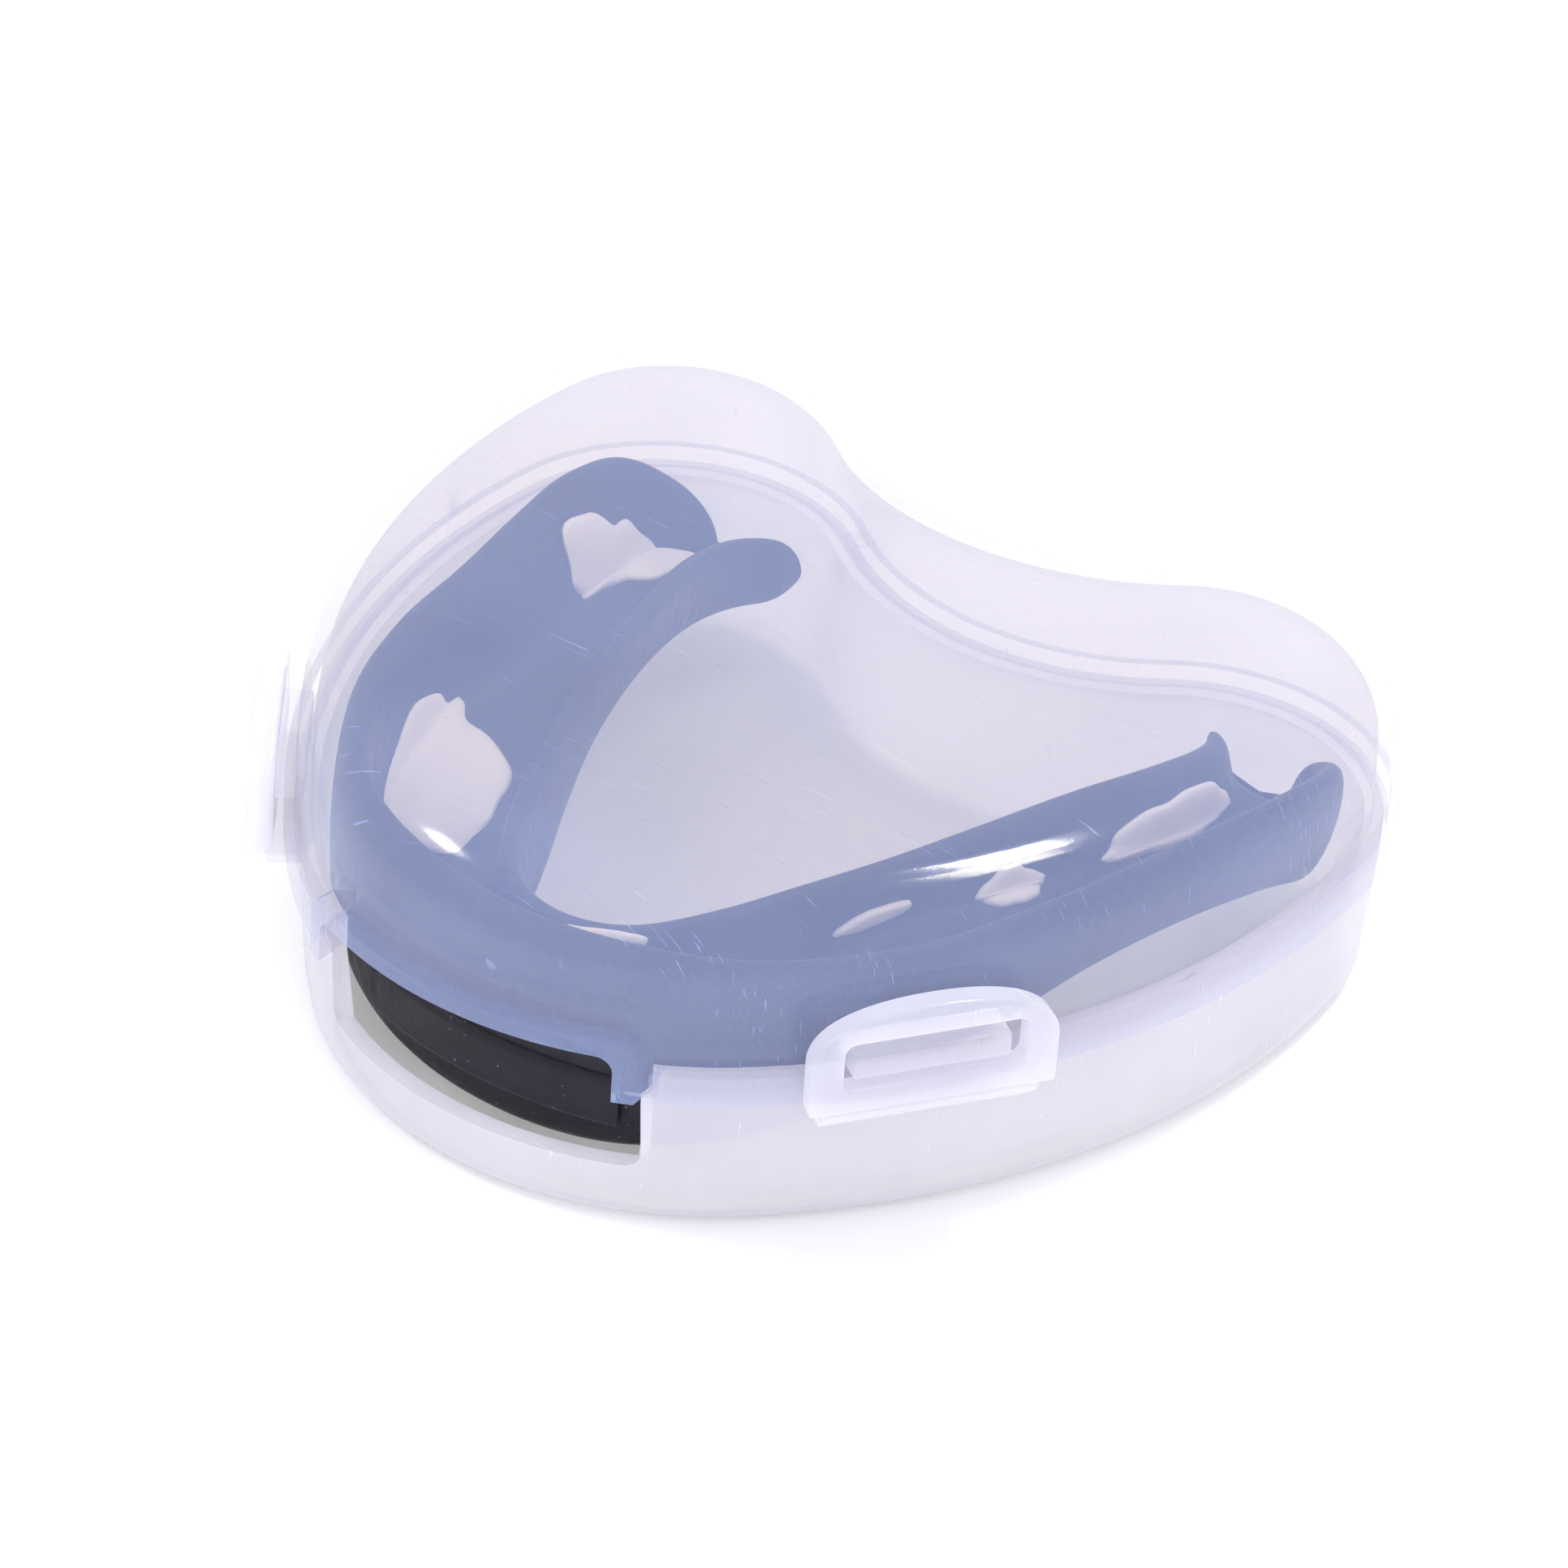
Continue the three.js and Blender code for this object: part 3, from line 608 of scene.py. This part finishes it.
def guard_section(at):
    edge, flange, floor = GUARD_EDGE, GUARD_FLANGE, at["floor"]
    low, rim = at["outerLow"].z, at["outerRim"].z
    inner_low, inner_rim = at["innerLow"].z, at["innerRim"].z
    return [
        wall_point(at, "outer", low, -2 * edge),
        wall_point(at, "outer", low + edge, 0),
        wall_point(at, "outer", (low + rim) / 2, GUARD_BULGE),
        wall_point(at, "outer", rim - edge, 0),
        wall_point(at, "outer", rim, -flange / 2),
        wall_point(at, "outer", rim - edge, -flange),
        wall_point(at, "outer", floor + edge, -flange),
        wall_point(at, "outer", floor, -flange - edge),
        wall_point(at, "inner", floor, flange + edge),
        wall_point(at, "inner", floor + edge, flange),
        wall_point(at, "inner", inner_rim - edge, flange),
        wall_point(at, "inner", inner_rim, flange / 2),
        wall_point(at, "inner", inner_rim - edge, 0),
        wall_point(at, "inner", inner_low + edge, 0),
        wall_point(at, "inner", inner_low, 2 * edge),
    ]


def subdivided(obj, levels):
    modifier = obj.modifiers.new("subdivision", "SUBSURF")
    modifier.levels = levels
    modifier.render_levels = levels
    return settled(obj)


def arch_rows(start, end, steps, section):
    return [section(station(start + (end - start) * i / steps)) for i in range(steps + 1)]


def tip_section(sign, turn):
    """One of the rows that close an arm's tip: a section with its flanges thinned and lowered."""
    at = station(sign * (1 - TIP_LENGTH + TIP_LENGTH * math.sin(turn)))
    row = guard_section(at)
    closing = 1 - math.cos(turn)
    drawn = []
    for i, (point, partner) in enumerate(zip(row, TIP_PARTNERS)):
        middle = (point + row[partner]) / 2
        if i in TIP_RIMS:
            middle = (row[i - 1] + row[i + 1]) / 2
        moved = point.lerp(middle, TIP_CLOSING * closing)
        if any(abs(i - rim) <= 1 for rim in TIP_RIMS):
            moved.z -= TIP_DROP * closing
        drawn.append(moved)
    return drawn


def build_guard():
    end = 1 - TIP_LENGTH
    turns = [math.pi / 2 * k / TIP_STEPS for k in range(1, TIP_STEPS + 1)]
    rows = [tip_section(-1, turn) for turn in reversed(turns)]
    rows += arch_rows(-end, end, GUARD_STEPS, guard_section)
    rows += [tip_section(1, turn) for turn in turns]
    guard = mesh_object("mouthguard_rubber", loft(rows, closed=False))
    subdivided(guard, 2)
    smooth(guard, SOFT_ANGLE)
    to_metres(guard)
    return guard


def bar_section(at):
    edge = BAR_PROUD / 2
    return [
        wall_point(at, "outer", BAR_BOTTOM, -GUARD_FLANGE / 2),
        wall_point(at, "outer", BAR_BOTTOM, edge),
        wall_point(at, "outer", BAR_BOTTOM + edge, BAR_PROUD),
        wall_point(at, "outer", BAR_TOP - edge, BAR_PROUD),
        wall_point(at, "outer", BAR_TOP, edge),
        wall_point(at, "outer", BAR_TOP, -GUARD_FLANGE / 2),
    ]


def build_bar():
    rows = arch_rows(-BAR_REACH, BAR_REACH, BAR_STEPS, bar_section)
    bar = mesh_object("mouthguard_front_panel", loft(rows, closed=False))
    rounded(bar, BAR_EDGE, 3, BAR_CREASE)
    smooth(bar)
    to_metres(bar)
    return bar


def trough_path(at):
    """The inside of the trough, from the outer rim over the floor and over the inner rim."""
    edge, flange, floor = GUARD_EDGE, GUARD_FLANGE, at["floor"]
    return [
        wall_point(at, "outer", at["outerRim"].z - edge, -flange),
        wall_point(at, "outer", floor + edge, -flange),
        wall_point(at, "outer", floor, -flange - edge),
        wall_point(at, "inner", floor, flange + edge),
        wall_point(at, "inner", floor + edge, flange),
        wall_point(at, "inner", at["innerRim"].z - edge, flange),
        wall_point(at, "inner", at["innerRim"].z, flange / 2),
        wall_point(at, "inner", at["innerRim"].z - edge, 0),
    ]


def trough_point(fraction, place):
    """A point inside the trough. place runs from 0 at the outer rim over 5 to 7 behind the inner one."""
    path = trough_path(station(fraction))
    found = Vector((0, 0, 0))
    for shift in TROUGH_SOFTENING:
        at = min(max(place + shift, 0), TROUGH_END)
        found += path[int(at)].lerp(path[int(at) + 1], at - int(at)) / len(TROUGH_SOFTENING)
    return found


def lifted(fraction, place, height):
    """A point above the trough's surface, towards its open middle."""
    point = trough_point(fraction, place)
    along = trough_point(fraction + ALONG_STEP, place) - trough_point(fraction - ALONG_STEP, place)
    across = trough_point(fraction, place + ACROSS_STEP) - trough_point(fraction, place - ACROSS_STEP)
    normal = along.cross(across).normalized()
    path = trough_path(station(fraction))
    if normal.dot((path[0] + path[TROUGH_RIM]) / 2 + TROUGH_OPEN - point) < 0:
        normal = -normal
    return point + normal * height


def patch_rows(centre, radii, wobble, phase, tilt, sink=0.0):
    """Rings of points over one pad, from the middle of its top to the middle of its underside."""
    rows = []
    for share, height in PATCH_PROFILE:
        row = []
        for k in range(PATCH_POINTS):
            angle = 2 * math.pi * k / PATCH_POINTS
            reach = 1 + wobble * sum(
                size * math.sin(waves * angle + factor * phase) for size, waves, factor in PATCH_WAVES
            )
            x = share * reach * math.cos(angle)
            y = share * reach * math.sin(angle)
            fraction = centre[0] + radii[0] * (x + tilt * y)
            row.append(lifted(fraction, centre[1] + radii[1] * y, height - sink))
        rows.append(row)
    return rows


def build_pad(name, patches):
    """A thin soft pad with a rounded, slightly ragged edge, pressed on the trough."""
    bm = bmesh.new()
    for patch in patches:
        made = [[bm.verts.new(p) for p in row] for row in patch_rows(*patch)]
        for low, high in zip(made, made[1:]):
            for i in range(len(low)):
                j = (i + 1) % len(low)
                bm.faces.new((low[i], low[j], high[j], high[i]))
        bm.faces.new(reversed(made[0]))
        bm.faces.new(made[-1])
    pad = mesh_object(name, bm)
    smooth(pad, SOFT_ANGLE)
    to_metres(pad)
    return pad


# ---------------------------------------------------------------- materials


class Nodes:
    """Short names for building a material's node tree."""

    def __init__(self, name):
        self.material = bpy.data.materials.new(name)
        self.material.use_nodes = True
        self.tree = self.material.node_tree
        self.tree.nodes.clear()
        self.place = self.add("ShaderNodeTexCoord").outputs["Object"]

    def add(self, kind, inputs=None, **settings):
        node = self.tree.nodes.new(kind)
        for key, value in settings.items():
            setattr(node, key, value)
        for key, value in (inputs or {}).items():
            socket = node.inputs[key]
            if isinstance(value, bpy.types.NodeSocket):
                self.tree.links.new(value, socket)
            else:
                socket.default_value = value
        return node

    def noise(self, scale, detail=4.0, stretch=None, turn=0.0):
        vector = self.place
        if stretch:
            mapping = self.add("ShaderNodeMapping", {0: vector, "Scale": stretch})
            mapping.inputs["Rotation"].default_value = Euler((0, 0, turn))
            vector = mapping.outputs[0]
        found = self.add("ShaderNodeTexNoise", {"Vector": vector, "Scale": scale, "Detail": detail})
        return found.outputs["Fac"]

    def ramp(self, value, low, high, out_low=0.0, out_high=1.0):
        node = self.add("ShaderNodeMapRange", {
            "Value": value, "From Min": low, "From Max": high, "To Min": out_low, "To Max": out_high,
        })
        return node.outputs[0]

    def math(self, operation, a, b=0.0):
        return self.add("ShaderNodeMath", {0: a, 1: b}, operation=operation).outputs[0]

    def blend(self, factor, a, b):
        return self.add("ShaderNodeMix", {0: factor, 6: a, 7: b}, data_type="RGBA").outputs[2]

    def vector(self, operation, a, b):
        second = "Scale" if operation == "SCALE" else 1
        return self.add("ShaderNodeVectorMath", {0: a, second: b}, operation=operation).outputs[0]

    def bump(self, height, strength, distance):
        node = self.add("ShaderNodeBump", {"Height": height, "Strength": strength, "Distance": distance})
        return node.outputs[0]

    def finish(self, shader):
        output = self.add("ShaderNodeOutputMaterial")
        self.tree.links.new(shader, output.inputs["Surface"])
        return self.material


def scratches(n):
    """Fine hair lines in three directions, 1 on a scratch and 0 elsewhere."""
    lines = None
    for turn, scale in ((0.5, 11.0), (-0.9, 9.0), (1.9, 10.0)):
        streak = n.noise(scale, 2.0, (9, 420, 30), turn)
        patch = n.ramp(n.noise(60 + 9 * scale, 1.0), 0.55, 0.65)
        line = n.math("MULTIPLY", n.ramp(streak, 0.7, 0.73), patch)
        lines = line if lines is None else n.math("MAXIMUM", lines, line)
    return lines


EDGE_HAZE = 0.7  # extra haze where a wall is seen edge-on
BEHIND = 0.5  # share of the haze that glows on the far side
MIRROR_FLAT = 0.04  # gloss seen straight on
MIRROR_EDGE = 0.6  # gloss added edge-on


def plastic(name, scatter, passed, roughness, scuffed):
    """Thin milky plastic: a cloudy haze that scatters more blue than red, under a gloss with fine wear.

    scatter is what one face scatters, and passed what it scatters or lets through, in each colour."""
    n = Nodes(name)
    cloud = n.noise(55, 5)
    grain = n.noise(1800, 2)
    wear = scratches(n)
    facing = n.add("ShaderNodeLayerWeight", {"Blend": 0.5}).outputs["Facing"]
    amount = n.ramp(cloud, 0.3, 0.7, 0.9, 1.1)
    amount = n.math("ADD", amount, n.math("MULTIPLY", n.math("POWER", facing, 3.0), EDGE_HAZE))
    amount = n.math("ADD", amount, n.math("MULTIPLY", wear, scuffed))
    hazed = n.vector("SCALE", scatter, amount)
    hazed = n.vector("MINIMUM", hazed, passed)
    clear = n.vector("SUBTRACT", passed, hazed)
    normal = n.bump(n.math("ADD", grain, n.math("MULTIPLY", cloud, 3.0)), 0.1, 0.00004)
    diffuse = n.add("ShaderNodeBsdfDiffuse", {"Color": hazed, "Normal": normal}).outputs[0]
    through = n.add("ShaderNodeBsdfTranslucent", {"Color": hazed, "Normal": normal}).outputs[0]
    milk = n.add("ShaderNodeMixShader", {0: BEHIND, 1: diffuse, 2: through}).outputs[0]
    gap = n.add("ShaderNodeBsdfTransparent", {"Color": clear}).outputs[0]
    body = n.add("ShaderNodeAddShader", {0: gap, 1: milk}).outputs[0]
    rough = n.ramp(cloud, 0.3, 0.7, roughness * 0.8, roughness * 1.2)
    rough = n.math("ADD", rough, n.math("MULTIPLY", wear, 0.2))
    gloss = n.add("ShaderNodeBsdfGlossy", {"Roughness": rough, "Normal": normal}).outputs[0]
    edge_on = n.math("POWER", facing, 5.0)
    mirror = n.math("ADD", n.math("MULTIPLY", edge_on, MIRROR_EDGE), MIRROR_FLAT)
    surface = n.add("ShaderNodeMixShader", {0: mirror, 1: body, 2: gloss}).outputs[0]
    return n.finish(surface)


def rubber(name):
    """Black moulded rubber with a satin skin, faint flow marks and specks of dust."""
    n = Nodes(name)
    cloud = n.noise(70, 5)
    grain = n.noise(2600, 3)
    flow = n.noise(30, 3, (4, 60, 18), 0.7)
    dust = n.ramp(n.noise(2400, 1), 0.76, 0.79)
    colour = n.blend(n.ramp(cloud, 0.3, 0.7), (0.006, 0.006, 0.010, 1), (0.013, 0.012, 0.020, 1))
    colour = n.blend(n.math("MULTIPLY", dust, 0.3), colour, (0.35, 0.35, 0.4, 1))
    height = n.math("ADD", grain, n.math("MULTIPLY", flow, 4.0))
    rough = n.ramp(flow, 0.3, 0.7, 0.36, 0.52)
    shader = n.add("ShaderNodeBsdfPrincipled", {
        "Base Color": colour, "Roughness": rough, "Normal": n.bump(height, 0.3, 0.00008),
        "Specular IOR Level": 0.24,
    })
    return n.finish(shader.outputs[0])


def gel(name):
    """Pale matt gel with a soft mottle."""
    n = Nodes(name)
    mottle = n.noise(160, 5)
    grain = n.noise(1900, 3)
    colour = n.blend(n.ramp(mottle, 0.3, 0.7), (0.86, 0.80, 0.78, 1), (0.94, 0.88, 0.86, 1))
    rough = n.ramp(mottle, 0.3, 0.7, 0.4, 0.6)
    height = n.math("ADD", grain, n.math("MULTIPLY", mottle, 4.0))
    shader = n.add("ShaderNodeBsdfPrincipled", {
        "Base Color": colour, "Roughness": rough, "Normal": n.bump(height, 0.3, 0.0001),
        "Subsurface Weight": 0.25, "Subsurface Radius": (0.004, 0.002, 0.0015), "Subsurface Scale": 0.3,
    })
    return n.finish(shader.outputs[0])


# ---------------------------------------------------------------- assembly


def dress(obj, material, body, slot, *nodes):
    """Gives a piece its material, unless it has its own, and its place in the frame."""
    if material:
        obj.data.materials.clear()
        obj.data.materials.append(material)
    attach(obj, body)
    if nodes:
        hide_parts(*nodes)


lid_plastic = plastic("lid_plastic", (0.102, 0.136, 0.252), (0.92, 0.912, 0.94), 0.11, 1.2)
base_plastic = plastic("base_plastic", (0.58, 0.58, 0.66), (0.965, 0.958, 0.985), 0.2, 0.3)
latch_plastic = plastic("latch_plastic", (0.36, 0.36, 0.40), (0.965, 0.958, 0.98), 0.2, 0.4)
# The rounded edges get a whiter, less clear plastic: painted light and dark lines standing in for the
# refraction along clear edges and ledges.
edge_painted_refraction = plastic("edge_painted_refraction", (0.30, 0.32, 0.40), (0.86, 0.86, 0.90), 0.1, 0.4)
black_rubber = rubber("guard_rubber")
pale_gel = gel("pad_gel")

dress(build_lid(), None, "lid", "clear_case", "case_lid")
dress(build_base(), None, "base", "clear_case", "case_base")
for side_name, side in (("right", 1), ("left", -1)):
    flap = build_flap("snap_flap_" + side_name, side)
    dress(flap, latch_plastic, "flap_" + side_name, "clear_latch", "latch_flap_" + side_name)
    catch = build_catch("catch_bar_" + side_name, side)
    dress(catch, latch_plastic, "lid", "clear_case")
    hinge = build_hinge("hinge_web_" + side_name, side)
    dress(hinge, latch_plastic, "base", "clear_latch", "living_hinge_" + side_name)
dress(build_guard(), black_rubber, "mouthguard", "black_rubber", "mouthguard_shell")
dress(build_bar(), black_rubber, "mouthguard", "black_rubber")
# Each pad is one or more patches: centre and radii as (fraction of the arm, place across the
# trough), raggedness, its phase, tilt, and how far the patch sinks in.
PADS = (
    ("gel_pad_front", [((0.07, 5.15), (0.06, 0.5), 0.1, 0.4, 0.0, 0.3)]),
    ("gel_pad_side_right", [
        ((0.41, 4.2), (0.045, 0.22), 0.1, 1.9, 0.2),
        ((0.565, 3.6), (0.036, 0.8), 0.14, 2.6, 0.3),
    ]),
    ("gel_pad_side_left", [((-0.385, 1.85), (0.105, 1.0), 0.2, 4.4, 0.25)]),
    ("gel_pad_rear_right", [((0.775, 3.9), (0.1, 0.85), 0.16, 0.9, 0.1)]),
    ("gel_pad_rear_left", [((-0.815, 1.4), (0.1, 1.1), 0.3, 3.1, -0.35)]),
)
for node, patches in PADS:
    dress(build_pad("inner_" + node, patches), pale_gel, "mouthguard", "pale_gel", node)

# ---------------------------------------------------------------- stage, light and camera


FLOOR_HALF = 3.0
SKY_COLOUR = (0.93, 0.925, 1.0, 1)
SKY_STRENGTH = 1.2
FOCAL_LENGTH = 171.6
SENSOR_WIDTH = 36
CAMERA_PLACE = (0.25237, -0.37699, 0.32501)
CAMERA_AIM = (-0.45623, 0.68858, -0.56365)
CAMERA_UP = (-0.37346, 0.43696, 0.81828)


def build_floor():
    bm = bmesh.new()
    size = FLOOR_HALF
    corners = [(-size, -size, 0), (size, -size, 0), (size, size, 0), (-size, size, 0)]
    bm.faces.new([bm.verts.new(c) for c in corners])
    floor = mesh_object("floor", bm)
    n = Nodes("floor_white")
    tone = n.blend(n.ramp(n.noise(3, 3), 0.3, 0.7), (0.92, 0.925, 0.92, 1), (0.94, 0.945, 0.94, 1))
    shader = n.add("ShaderNodeBsdfDiffuse", {"Color": tone})
    floor.data.materials.append(n.finish(shader.outputs[0]))


def lamp(name, target, direction, distance, size, power):
    """A softbox that faces target from a direction."""
    data = bpy.data.lights.new(name, "AREA")
    data.shape = "RECTANGLE"
    data.size, data.size_y = size
    data.energy = power
    obj = bpy.data.objects.new(name, data)
    bpy.context.scene.collection.objects.link(obj)
    way = Vector(direction).normalized()
    obj.location = Vector(target) + way * distance
    obj.rotation_euler = way.to_track_quat("Z", "Y").to_euler()
    return obj


build_floor()
world = bpy.data.worlds.new("studio")
bpy.context.scene.world = world
world.use_nodes = True
sky = world.node_tree.nodes["Background"]
sky.inputs["Color"].default_value = SKY_COLOUR
sky.inputs["Strength"].default_value = SKY_STRENGTH

lamp("streak_softbox", (0.0274, -0.0107, 0.0266), (0.115, 0.42, 0.90), 1.2, (0.24, 0.15), 4.5)
lamp("spot_softbox", (-0.0048, -0.0325, 0.0257), (-0.647, -0.306, 0.699), 1.2, (0.16, 0.16), 2.2)
fill = lamp("front_fill", (0, 0, 0.012), (0.5, -0.8, 0.35), 1.2, (0.9, 0.6), 4.0)
fill.visible_glossy = False  # it only brightens the front, with no reflection of its own

camera_data = bpy.data.cameras.new("camera")
camera_data.sensor_width = SENSOR_WIDTH
camera_data.lens = FOCAL_LENGTH
camera_data.clip_start = 0.01
camera = bpy.data.objects.new("camera", camera_data)
bpy.context.scene.collection.objects.link(camera)
forward = Vector(CAMERA_AIM).normalized()
up = Vector(CAMERA_UP)
up = (up - forward * up.dot(forward)).normalized()
right = forward.cross(up)
turn = Matrix((right, up, -forward)).transposed().to_4x4()
camera.matrix_world = Matrix.Translation(CAMERA_PLACE) @ turn
bpy.context.scene.camera = camera

bpy.context.scene.view_settings.view_transform = "Standard"
bpy.context.scene.view_settings.look = "None"
